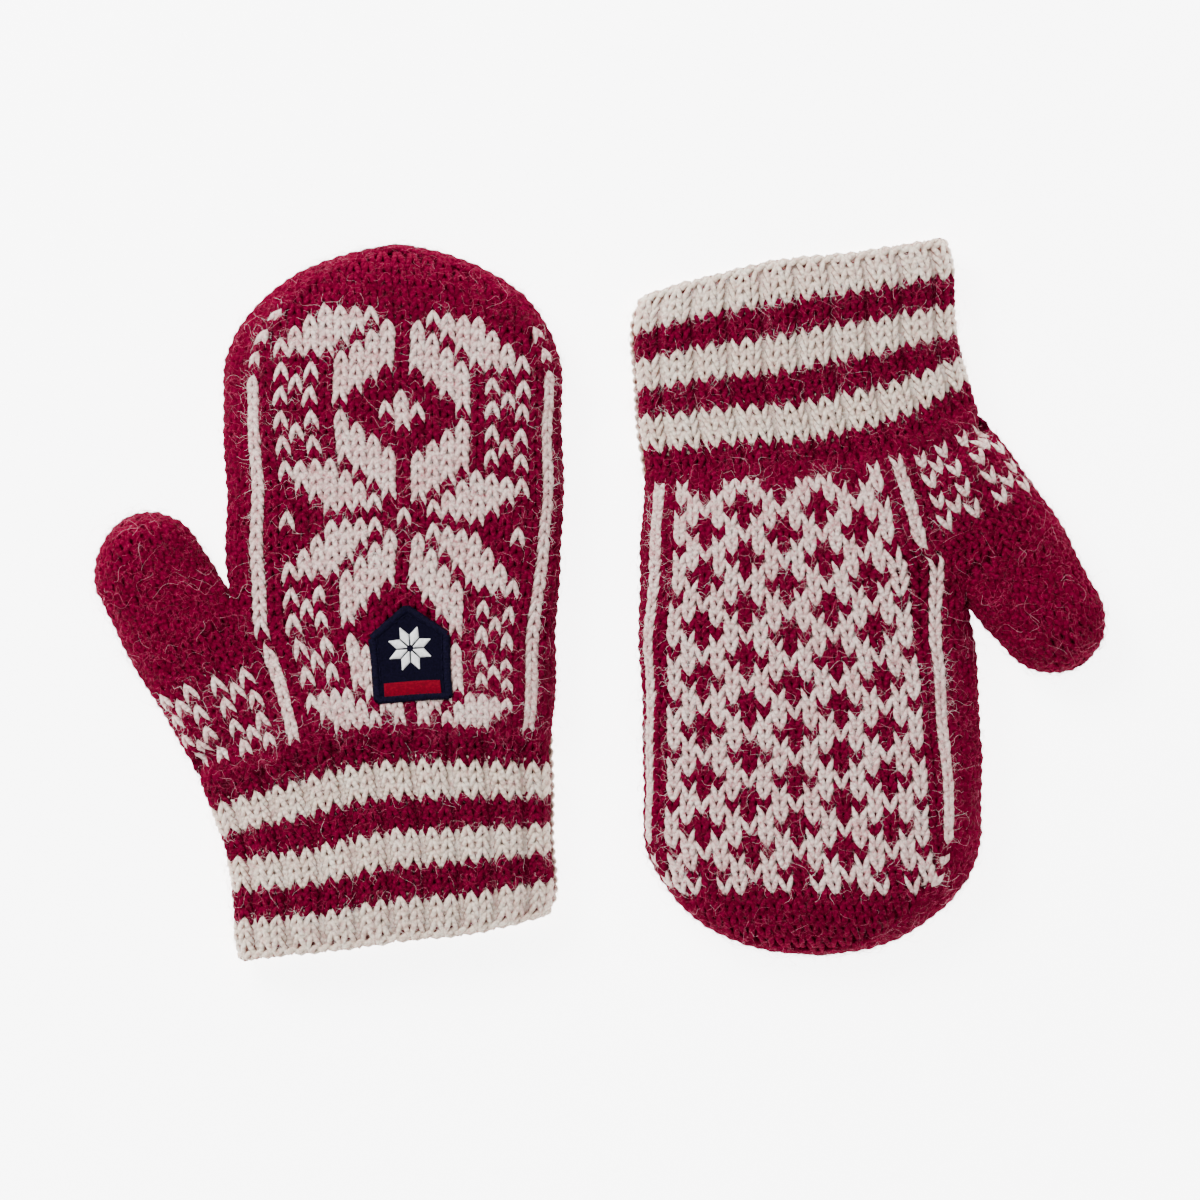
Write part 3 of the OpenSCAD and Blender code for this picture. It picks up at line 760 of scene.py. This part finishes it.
class Nodes:
    """A short way to write a node tree. A finished look is a material and its slot."""

    def __init__(self, name, slot=None):
        self.slot = slot
        self.material = bpy.data.materials.new(name)
        self.material.use_nodes = True
        self.tree = self.material.node_tree

    def feed(self, node, values):
        for key, value in values.items():
            if isinstance(value, bpy.types.NodeSocket):
                self.tree.links.new(value, node.inputs[key])
            else:
                node.inputs[key].default_value = value

    def add(self, kind, values, **settings):
        node = self.tree.nodes.new(kind)
        for key, value in settings.items():
            setattr(node, key, value)
        self.feed(node, values)
        return node.outputs

    def coordinates(self):
        return self.add("ShaderNodeTexCoord", {})

    def noise(self, source, scale, detail, **form):
        values = {"Vector": source, "Scale": scale, "Detail": detail, **form}
        return self.add("ShaderNodeTexNoise", values)["Fac"]

    def scaled(self, source, scale, rotation=(0, 0, 0)):
        values = {"Vector": source, "Scale": scale, "Rotation": rotation}
        return self.add("ShaderNodeMapping", values)["Vector"]

    def bump(self, height, strength, distance, **under):
        values = {"Height": height, "Strength": strength, "Distance": distance, **under}
        return self.add("ShaderNodeBump", values)["Normal"]

    def ramp(self, source, stops):
        node = self.tree.nodes.new("ShaderNodeValToRGB")
        elements = node.color_ramp.elements
        while len(elements) < len(stops):
            elements.new(0.5)
        for element, (place, colour) in zip(elements, stops):
            element.position = place
            element.color = colour
        self.feed(node, {"Fac": source})
        return node.outputs["Color"]

    def mix(self, a, b, factor, blend="MIX"):
        values = {6: a, 7: b, 0: factor}
        return self.add("ShaderNodeMix", values, data_type="RGBA", blend_type=blend)[2]

    def finish(self, values):
        self.feed(self.tree.nodes["Principled BSDF"], values)
        return self.material, self.slot


def yarn_colour(n, uv, place, fibres, tones, crease_shade, speck):
    """Tones along the fibres and in patches, painted shade that darkens the yarn's sides and its side
    towards the skin, as in the creases between the loops, and flecks.
    """
    dark, mid, light = (linear(*tone) for tone in tones)
    patches = n.noise(place, 260.0, 4.0, Roughness=0.65)
    fibre_colour = n.ramp(fibres, [(0.3, dark), (0.52, mid), (0.72, light)])
    patch_colour = n.ramp(patches, [(0.34, dark), (0.5, mid), (0.68, light)])
    colour = n.mix(fibre_colour, patch_colour, 0.45)
    # Painted shade: the yarn's sides and its side towards the skin are multiplied by a darker colour,
    # standing in for shade in the creases between the loops.
    round_yarn = n.add("ShaderNodeSeparateXYZ", {"Vector": uv})["Y"]
    turn = n.add("ShaderNodeMath", {0: round_yarn, 1: TAU}, operation="MULTIPLY")[0]
    facing = n.add("ShaderNodeMath", {0: turn}, operation="COSINE")[0]
    painted_shade = n.ramp(facing, [(0.05, crease_shade), (0.9, (1, 1, 1, 1))])
    colour = n.mix(colour, painted_shade, 1.0, "MULTIPLY")
    flecks = n.noise(place, 1100.0, 3.0, Roughness=0.7)
    amount = n.ramp(flecks, [(0.47, (0, 0, 0, 1)), (0.66, (0.8, 0.8, 0.8, 1))])
    return n.mix(colour, linear(*speck), amount)


def yarn_material(name, slot, tones, crease_shade, speck, sheen_tint, sheen=0.06, gloss=0.1):
    """Spun wool: fibres along the yarn, a soft twist, patches of tone, and painted shade on the yarn's
    sides.
    """
    n = Nodes(name, slot)
    coordinates = n.coordinates()
    uv, place = coordinates["UV"], coordinates["Object"]
    fine = n.scaled(uv, (0.9, 9.0, 1.0))
    fibres = n.noise(fine, 2.2, 5.0, Roughness=0.7, Distortion=0.6)
    turned = n.scaled(uv, (0.42, 2.0, 1.0), (0, 0, 0.5))
    wave = {"Vector": turned, "Scale": 1.0, "Distortion": 1.2, "Detail": 2.0}
    plies = n.add("ShaderNodeTexWave", wave, bands_direction="DIAGONAL")["Fac"]
    fibre_bump = n.bump(fibres, 0.8, 0.0004)
    return n.finish({
        "Base Color": yarn_colour(n, uv, place, fibres, tones, crease_shade, speck),
        "Normal": n.bump(plies, 0.5, 0.00045, Normal=fibre_bump),
        "Roughness": 0.92,
        "Specular IOR Level": gloss,
        "Sheen Weight": sheen,
        "Sheen Roughness": 0.6,
        "Sheen Tint": linear(*sheen_tint),
    })


def thread_material(name, slot, dark, light, scale, gloss):
    """Smooth embroidery thread or woven cloth."""
    n = Nodes(name, slot)
    grain = n.noise(n.coordinates()["Object"], scale, 4.0, Roughness=0.6)
    return n.finish({
        "Base Color": n.ramp(grain, [(0.35, linear(*dark)), (0.65, linear(*light))]),
        "Normal": n.bump(grain, 0.4, 0.0001),
        "Roughness": 0.75,
        "Specular IOR Level": gloss,
    })


def hair_material(name, slot, dark, light):
    n = Nodes(name, slot)
    grain = n.noise(n.coordinates()["Object"], 150.0, 1.0)
    colour = n.ramp(grain, [(0.4, linear(*dark)), (0.6, linear(*light))])
    return n.finish({"Base Color": colour, "Roughness": 0.7})


# Each crease colour below is painted shade, multiplied onto the yarn's sides and its side towards the
# skin.
RED_YARN = yarn_material(
    "red_wool", "red_yarn", tones=[(62, 0, 20), (90, 0, 30), (110, 0, 40)],
    crease_shade=(0.5, 0.42, 0.46, 1), speck=(124, 6, 52), sheen_tint=(150, 10, 50), sheen=0.0, gloss=0.02,
)
CREAM_YARN = yarn_material(
    "cream_wool", "cream_yarn", tones=[(204, 152, 148), (246, 222, 212), (255, 248, 238)],
    crease_shade=(0.13, 0.035, 0.04, 1), speck=(186, 92, 106), sheen_tint=(255, 225, 225),
)
PLAIN_YARN = yarn_material(
    "plain_cream_wool", "cream_yarn", tones=[(214, 182, 160), (250, 236, 216), (255, 250, 236)],
    crease_shade=(0.18, 0.08, 0.07, 1), speck=(206, 160, 148), sheen_tint=(255, 235, 225),
)
RED_HAIR = hair_material("red_hair", "red_yarn", (110, 0, 38), (180, 50, 90))
PALE_HAIR = hair_material("pale_hair", "red_yarn", (190, 80, 112), (236, 172, 184))
CREAM_HAIR = hair_material("cream_hair", "cream_yarn", (236, 190, 190), (255, 244, 238))
NAVY_CLOTH = thread_material("navy_twill", "navy_cloth", (4, 3, 14), (12, 9, 28), 2600.0, 0.03)
NAVY = thread_material("navy_thread", "navy_thread", (5, 4, 18), (16, 12, 36), 1800.0, 0.06)
RED = thread_material("badge_red", "badge_red", (92, 0, 18), (120, 0, 26), 1800.0, 0.08)
WHITE = thread_material("badge_white", "badge_white", (225, 225, 226), (250, 250, 250), 1800.0, 0.25)


# ---- Pieces of each mitten
def join_to_bodies(m, obj, zone):
    """Bakes the transforms of the hand's and the thumb's pieces, and puts the cuff's and the badge's
    pieces on the hand's body. The ends of the knuckle fold and of the thumb's root are worked out but
    not used.
    """
    if zone in (PALM, KNUCKLES, FINGERS):
        start = m.world(np.array([0, FOLD_START, 9.0]))
        end = m.world(np.array([0, FOLD_END, 9.0]))
        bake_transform(obj)
    elif zone == THUMB:
        plan = m.thumb_point(np.array([ROOT_FROM, ROOT_TO]), np.zeros(2))
        start = m.world(np.array([*plan[0], 8.0]))
        end = m.world(np.array([*plan[1], 8.0]))
        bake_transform(obj)
    else:
        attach(obj, m.name + "_hand")


def settle(m, obj, look, zone, nodes=()):
    """Gives a piece its material, bakes it or puts it on the hand's body, and hides the CAD nodes that
    it replaces.
    """
    obj.data.materials.append(look[0])
    join_to_bodies(m, obj, zone)
    if nodes:
        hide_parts(*[m.name + "_" + node for node in nodes])


STANDS_FOR = {
    "palm_red": ["palm_tube"],
    "knuckles_red": ["knuckle_fold"],
    "fingers_red": ["finger_tube", "crown"],
    "thumb_red": ["thumb_gusset", "thumb_root", "thumb_tip"],
    "cuff_red": ["cuff_red_stripes"],
    "cuff_cream": ["cuff_cream_stripes", "cuff_edge"],
}


def yarn_pieces(m, found):
    paths, normals, radii, cream, zone = joined(found)
    for number, part in enumerate(ZONES):
        pale = PLAIN_YARN if number == CUFF else CREAM_YARN
        for colour, look, chosen in (("red", RED_YARN, ~cream), ("cream", pale, cream)):
            pick = chosen & (zone == number)
            name = f"{part}_{colour}_yarn"
            obj = tube_piece(name, m, paths[pick], normals[pick], radii[pick])
            settle(m, obj, look, number, STANDS_FOR.get(f"{part}_{colour}", []))


def grid_sheet(outer, inner, closed):
    """A thin solid between two grids of points of shape (rows, columns, 3)."""
    rows, cols = outer.shape[:2]
    verts = np.concatenate([outer.reshape(-1, 3), inner.reshape(-1, 3)])
    along = np.arange(cols if closed else cols - 1)
    i, j = grid_of(np.arange(rows - 1), along, order="ij")
    a, b = i * cols + j, i * cols + (j + 1) % cols
    c, d = b + cols, a + cols
    half = rows * cols
    faces = [np.stack([a, b, c, d], 1), np.stack([d, c, b, a], 1) + half]
    for r, flip in ((0, False), (rows - 1, True)):
        e, f = r * cols + along, r * cols + (along + 1) % cols
        rim = np.stack([f, e, e + half, f + half], 1)
        faces.append(rim[:, ::-1] if flip else rim)
    faces = np.concatenate(faces)
    uv = np.column_stack([verts[faces.ravel(), 1], verts[faces.ravel(), 0]]) * 0.5
    return verts, faces.ravel(), np.arange(len(faces)) * 4, uv


def lining(m, patch, part, heights, count, depths, zone, nodes=(), closed=True):
    """The knit's inner side: rows of purl bumps on a thin layer."""
    share = np.linspace(0, 1, count, endpoint=not closed)
    points, normals = patch.at(*np.meshgrid(share, heights))
    bumps = 0.3 * np.abs(np.sin(np.arange(len(heights)) * math.pi / 2))[:, None]
    bumps = bumps + 0.2 * np.abs(np.sin(np.arange(count) * math.pi / 2))[None, :]
    outer = points - normals * depths[0]
    inner = points - normals * (depths[1] + bumps[..., None])
    obj = mitten_mesh(part + "_lining", m, grid_sheet(outer, inner, closed))
    settle(m, obj, RED_YARN, zone, nodes)


def linings(m, hand, gusset, thumb):
    dome = DOME_START + (DOME_LEN - 0.1) * np.sin(np.linspace(0, math.pi / 2, 28))
    body = np.concatenate([np.arange(0, DOME_START, LINING_STEP), dome])
    cuff = np.arange(-CUFF_LEN + 0.5, 1, LINING_STEP)
    tip = thumb.heights[-1]
    travel = np.append(np.arange(ROOT_FROM - 3, tip - 1, LINING_STEP), tip - 0.1)
    levels = np.linspace(0, 1.05, 22)
    floats = ["palm_float_lining", "finger_float_lining"]
    lining(m, hand, "cuff", cuff, 96, CUFF_LINING, CUFF, ["cuff_yarn_end"])
    lining(m, hand, "hand", body, 104, LINING, KNUCKLES, floats)
    lining(m, thumb, "thumb", travel, 56, LINING, THUMB)
    lining(m, gusset, "gusset", levels, 49, LINING, THUMB, closed=False)


def yarn_along(name, m, path, normals, radius, look, zone, nodes=()):
    radii = np.full((1, len(path)), radius)
    obj = tube_piece(name, m, path[None], normals[None], radii, 8)
    settle(m, obj, look, zone, nodes)


def cuff_details(m, hand):
    """The bound edge and the yarn carried up the side."""
    turns = RIBS * 3
    t = np.linspace(0, 1, turns * 6 + 1)
    wave = np.cos(t * TAU * turns)
    points, normals = hand.at(t % 1.0, -CUFF_LEN - 0.5 + 0.35 * wave)
    path = points - normals * (1.1 + 0.4 * np.sin(t * TAU * turns))[:, None]
    yarn_along("cuff_bound_edge", m, path, normals, 0.8, PLAIN_YARN, CUFF)
    v = np.linspace(-CUFF_LEN + 1, -1, 140)
    edge = hand.look(hand.side - hand.top, v)
    sway = 0.45 * np.sin(v * TAU / (2 * CUFF_LEN / CUFF_ROWS))
    points, normals = hand.at_distance(edge + sway, v)
    path = points + normals * (-0.35 + 0.3 * np.cos(v * TAU * CUFF_ROWS / CUFF_LEN))[:, None]
    yarn_along("cuff_carried_yarn", m, path, normals, 0.7, PLAIN_YARN, CUFF, ["cuff_side_seam"])


def yarn_ends(m):
    """The crown's and the thumb's woven-in ends, lying where the CAD has them."""
    for part, zone in (("crown_yarn_end", FINGERS), ("thumb_yarn_end", THUMB)):
        low, high = (np.array(p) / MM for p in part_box(f"{m.name}_{part}"))
        middle, size = (low + high) / 2, high - low
        long = np.array([size[0], 0, 0]) if size[0] > size[1] else np.array([0, size[1], 0])
        t = np.linspace(-0.45, 0.45, 24)[:, None]
        world = middle + t * long + np.array([0, 0, 1]) * 0.2 * np.sin(t * 25)
        local = (world - m.origin) @ m.rotation
        normals = np.broadcast_to([0, 0, 1.0], local.shape)
        yarn_along(part + "_yarn", m, local, normals, 0.75, RED_YARN, zone, [part])


# ---- Badge
def dense_outline(corners, pitch):
    points, outward = [], []
    for a, b in sides_of(corners):
        length = np.linalg.norm(b - a)
        count = max(2, round(length / pitch))
        t = (np.arange(count) + 0.5)[:, None] / count
        points.append(a + (b - a) * t)
        d = (b - a) / length
        outward.append(np.broadcast_to([d[1], -d[0]], (count, 2)))
    return np.concatenate(points), np.concatenate(outward)


def badge_tubes(name, m, starts, ends, level, arch, radius, look, node):
    """Threads from point to point on the badge, each bowed up in the middle."""
    t = np.linspace(0, 1, 7)[None, :, None]
    plan = np.array(starts)[:, None] * (1 - t) + np.array(ends)[:, None] * t
    rise = level + arch * np.sin(np.pi * t[..., 0]) * np.ones((len(starts), 1))
    badge_paths(name, m, plan, rise, radius, look, node)


def on_badge(m, plan, rise):
    """Points of the mitten's frame from places on the badge and heights above its base."""
    z = BADGE_BASE[m.name] + rise * m.badge_side
    return np.concatenate([from_badge(m, plan), z[..., None]], axis=-1)


def badge_paths(name, m, plan, rise, radius, look, node):
    paths = on_badge(m, plan, rise)
    normals = np.broadcast_to([0, 0, float(m.badge_side)], paths.shape)
    radii = np.full(paths.shape[:2], radius)
    obj = tube_piece("badge_" + name, m, paths, normals, radii, 6)
    settle(m, obj, look, BADGE, [node])


def badge_cloth(m):
    """The badge's cloth: a thin plate with soft corners."""
    edge = dense_outline(badge_outline(0.0), 0.6)[0]
    rings = [on_badge(m, edge * scale, np.full(len(edge), rise)) for scale, rise in CLOTH_RINGS]
    grid = np.array(rings)[:, :: m.badge_side]
    rows, cols = grid.shape[:2]
    i, j = grid_of(np.arange(rows - 1), np.arange(cols), order="ij")
    a, b = i * cols + j, i * cols + (j + 1) % cols
    quads = np.stack([a, b, b + cols, a + cols], 1)
    caps = np.concatenate([np.arange(cols)[::-1], (rows - 1) * cols + np.arange(cols)])
    corner = np.concatenate([quads.ravel(), caps])
    starts = np.concatenate([np.arange(len(quads)) * 4, quads.size + np.array([0, cols])])
    verts = grid.reshape(-1, 3)
    obj = make_mesh(m.name + "_badge_cloth", m.world(verts), corner, starts, verts[corner][:, :2])
    settle(m, obj, NAVY_CLOTH, BADGE, ["badge_backing"])


def badge_border(m):
    middle, outward = dense_outline(badge_outline(0.8), 0.36)
    t = np.linspace(-1, 1, 7)
    plan = middle[:, None] + outward[:, None] * (t * 0.85)[None, :, None]
    rise = np.broadcast_to(0.28 + 0.62 * np.sqrt(np.clip(1 - t**2, 0, 1)), plan.shape[:2])
    badge_paths("border_thread", m, plan, rise, 0.2, NAVY, "badge_border")


def satin(corners, pitch, direction):
    """Starts and ends of parallel threads that fill a convex outline."""
    across = np.array([-direction[1], direction[0]])
    d = corners @ across
    starts, ends = [], []
    for level in np.arange(d.min() + pitch / 2, d.max(), pitch):
        hits = []
        for a, b in sides_of(corners):
            da, db = a @ across - level, b @ across - level
            if da * db < 0:
                hits.append(a + (b - a) * da / (da - db))
        if len(hits) == 2:
            hits.sort(key=lambda p: p @ direction)
            starts.append(hits[0])
            ends.append(hits[1])
    return starts, ends


def badge_flower(m):
    starts, ends = [], []
    for i in range(PETALS):
        a = math.radians(22.5 + 360 / PETALS * i)
        out = np.array([math.cos(a), math.sin(a)])
        across = np.array([-math.sin(a), math.cos(a)])
        middle = FLOWER_MIDDLE + out * PETAL_REACH
        long, wide = out * PETAL_LONG, across * PETAL_WIDE
        corners = np.array([middle + long, middle + wide, middle - long, middle - wide])
        s, e = satin(corners, THREAD_PITCH, across)
        starts += s
        ends += e
    badge_tubes("motif_thread", m, starts, ends, THREAD_LEVEL, 0.3, THREAD_RADIUS, WHITE, "badge_motif")


def badge_bar(m):
    h, low, high = BAR_HALF, BAR_LOW + 0.3, BAR_HIGH + 0.3
    bar = np.array([[-h, low], [h, low], [h, high], [-h, high]]) * np.array([0.93, 1.0])
    s, e = satin(bar, THREAD_PITCH, np.array([0, 1.0]))
    badge_tubes("panel_thread", m, s, e, THREAD_LEVEL, 0.28, THREAD_RADIUS, RED, "badge_panel")


def badge_sewing(m):
    middle, outward = dense_outline(badge_outline(1.9), 2.4)
    half = np.column_stack([-outward[:, 1], outward[:, 0]]) * 0.75
    badge_tubes("sewing", m, middle - half, middle + half, 0.62, 0.2, 0.14, NAVY, "badge_stitches")


# ---- Loose fibres
def fuzz(m, found, share, reach, radius, curl, steps):
    """Curled fibres that stand out of the yarn."""
    paths, normals, cream, zone = (joined(found)[k] for k in (0, 1, 3, 4))
    n = int(len(paths) * share)
    weight = np.where(cream, CREAM_FUZZ, 1.0)
    pick = rng.choice(len(paths), n, p=weight / weight.sum())
    ring = rng.choice([2, 3, 4, 8, 9, 10], n)
    start, up = paths[pick, ring], normals[pick, ring]
    heading = unit(np.cross(up, rng.normal(size=(n, 3))))
    aside = np.cross(up, heading)
    length = (reach * rng.uniform(0.5, 1.6, n))[:, None, None]
    t = np.linspace(0, 1, steps)[None, :, None]
    phase = rng.uniform(0, TAU, n)[:, None, None]
    turns = rng.uniform(0.4, 1.4, n)[:, None, None]
    swing = curl * length * (np.sin(phase + turns * TAU * t) - np.sin(phase))
    lift = length * rng.uniform(0.12, 0.5, n)[:, None, None] * np.sin(np.pi * 0.75 * t)
    line = start[:, None] + heading[:, None] * length * t + aside[:, None] * swing
    line = line + up[:, None] * (YARN * 0.8 + lift)
    line[..., 2] = np.maximum(line[..., 2], 0.05)
    clear = ~inside_polygon(to_badge(m, line[..., :2]), badge_outline(-0.3)).any(axis=1)
    clear |= up[:, 2] * m.badge_side < 0
    side = unit(np.cross(heading, up) + 0.3 * up)[:, None] * np.ones((1, steps, 1))
    taper = radius * (1 - 0.6 * t[..., 0]) * rng.uniform(0.7, 1.3, (n, 1))
    return [part[clear] for part in (line, side, taper, cream[pick], zone[pick])]


def fuzz_pieces(m, found):
    down = fuzz(m, found, share=6.5, reach=2.3, radius=0.026, curl=0.2, steps=5)
    hairs = fuzz(m, found, share=0.4, reach=5.0, radius=0.02, curl=0.17, steps=16)
    groups = (("hand", (PALM, KNUCKLES, FINGERS)), ("thumb", (THUMB,)), ("cuff", (CUFF,)))
    for layer, fibres, red in (("down", down, RED_HAIR), ("hairs", hairs, PALE_HAIR)):
        line, side, taper, cream, zone = fibres
        for group, zones in groups:
            for colour, look, chosen in (("red", red, ~cream), ("cream", CREAM_HAIR, cream)):
                pick = chosen & np.isin(zone, zones)
                name = f"{group}_{colour}_{layer}"
                obj = tube_piece(name, m, line[pick], side[pick], taper[pick], 3)
                settle(m, obj, look, zones[0])


def build_mitten(m):
    hand = Hand(m)
    gusset = Gusset(m, hand)
    thumb = Thumb(m)
    found = []
    hand_stitches(m, hand, found)
    gusset_stitches(gusset, found)
    thumb_stitches(m, thumb, found)
    cuff_stitches(m, hand, found)
    yarn_pieces(m, found)
    linings(m, hand, gusset, thumb)
    cuff_details(m, hand)
    yarn_ends(m)
    badge_cloth(m)
    badge_border(m)
    badge_flower(m)
    badge_bar(m)
    badge_sewing(m)
    fuzz_pieces(m, found)


build_mitten(Mitten(
    "right", back_up=True, flare=8.9, bend=-0.003708, tilt=-2.57, thumb_angle=29.8,
    shift=0.0, stretch=1.0, spread=[0, 1.5, 2.2, 1.2, 0.5, 0],
))
build_mitten(Mitten(
    "left", back_up=False, flare=6.2, bend=-0.00452, tilt=-1.4, thumb_angle=33.2,
    shift=1.8, stretch=1.03, spread=[0, 1.4, 4.2, 0.2, -0.4, 0],
))


# ---- Studio: a pale floor that glows a little, as the photo's white ground does
FLOOR_HALF, FLOOR_TONE, FLOOR_GLOW = 2.5, 0.86, 6.5
SKY_STRENGTH = 0.75
LAMPS = (("key", (-0.7, 0.8, 1.0), 0.7, 40.0), ("fill", (0.9, -0.4, 1.1), 1.2, 4.0))
CAMERA_LENS, CAMERA_HEIGHT = 300, 2.4


def place(name, data):
    obj = bpy.data.objects.new(name, data)
    bpy.context.scene.collection.objects.link(obj)
    return obj


def lay_floor():
    mesh = bpy.data.meshes.new("floor")
    h, low = FLOOR_HALF, cad_low.z - 0.0001
    mesh.from_pydata([(-h, -h, low), (h, -h, low), (h, h, low), (-h, h, low)], [], [(0, 1, 2, 3)])
    floor = place("floor", mesh)
    paper = Nodes("paper").finish({
        "Base Color": (FLOOR_TONE, FLOOR_TONE, FLOOR_TONE, 1),
        "Roughness": 0.9,
        "Emission Color": (1, 1, 1, 1),
        "Emission Strength": FLOOR_GLOW,
    })
    mesh.materials.append(paper[0])


def light(middle):
    world = bpy.data.worlds.new("studio")
    bpy.context.scene.world = world
    world.use_nodes = True
    sockets = world.node_tree.nodes["Background"].inputs
    sockets["Color"].default_value = (1, 1, 1, 1)
    sockets["Strength"].default_value = SKY_STRENGTH
    for name, spot, size, power in LAMPS:
        data = bpy.data.lights.new(name, "AREA")
        data.size = size
        data.energy = power
        lamp = place(name, data)
        lamp.location = (middle.x + spot[0], middle.y + spot[1], spot[2])
        lamp.rotation_euler = (-lamp.location + middle).to_track_quat("-Z", "Y").to_euler()


def set_camera(middle):
    data = bpy.data.cameras.new("camera")
    data.lens = CAMERA_LENS
    camera = place("camera", data)
    camera.location = (0, 0, CAMERA_HEIGHT + middle.z)
    bpy.context.scene.camera = camera


object_middle = (cad_low + cad_high) / 2
lay_floor()
light(object_middle)
set_camera(object_middle)
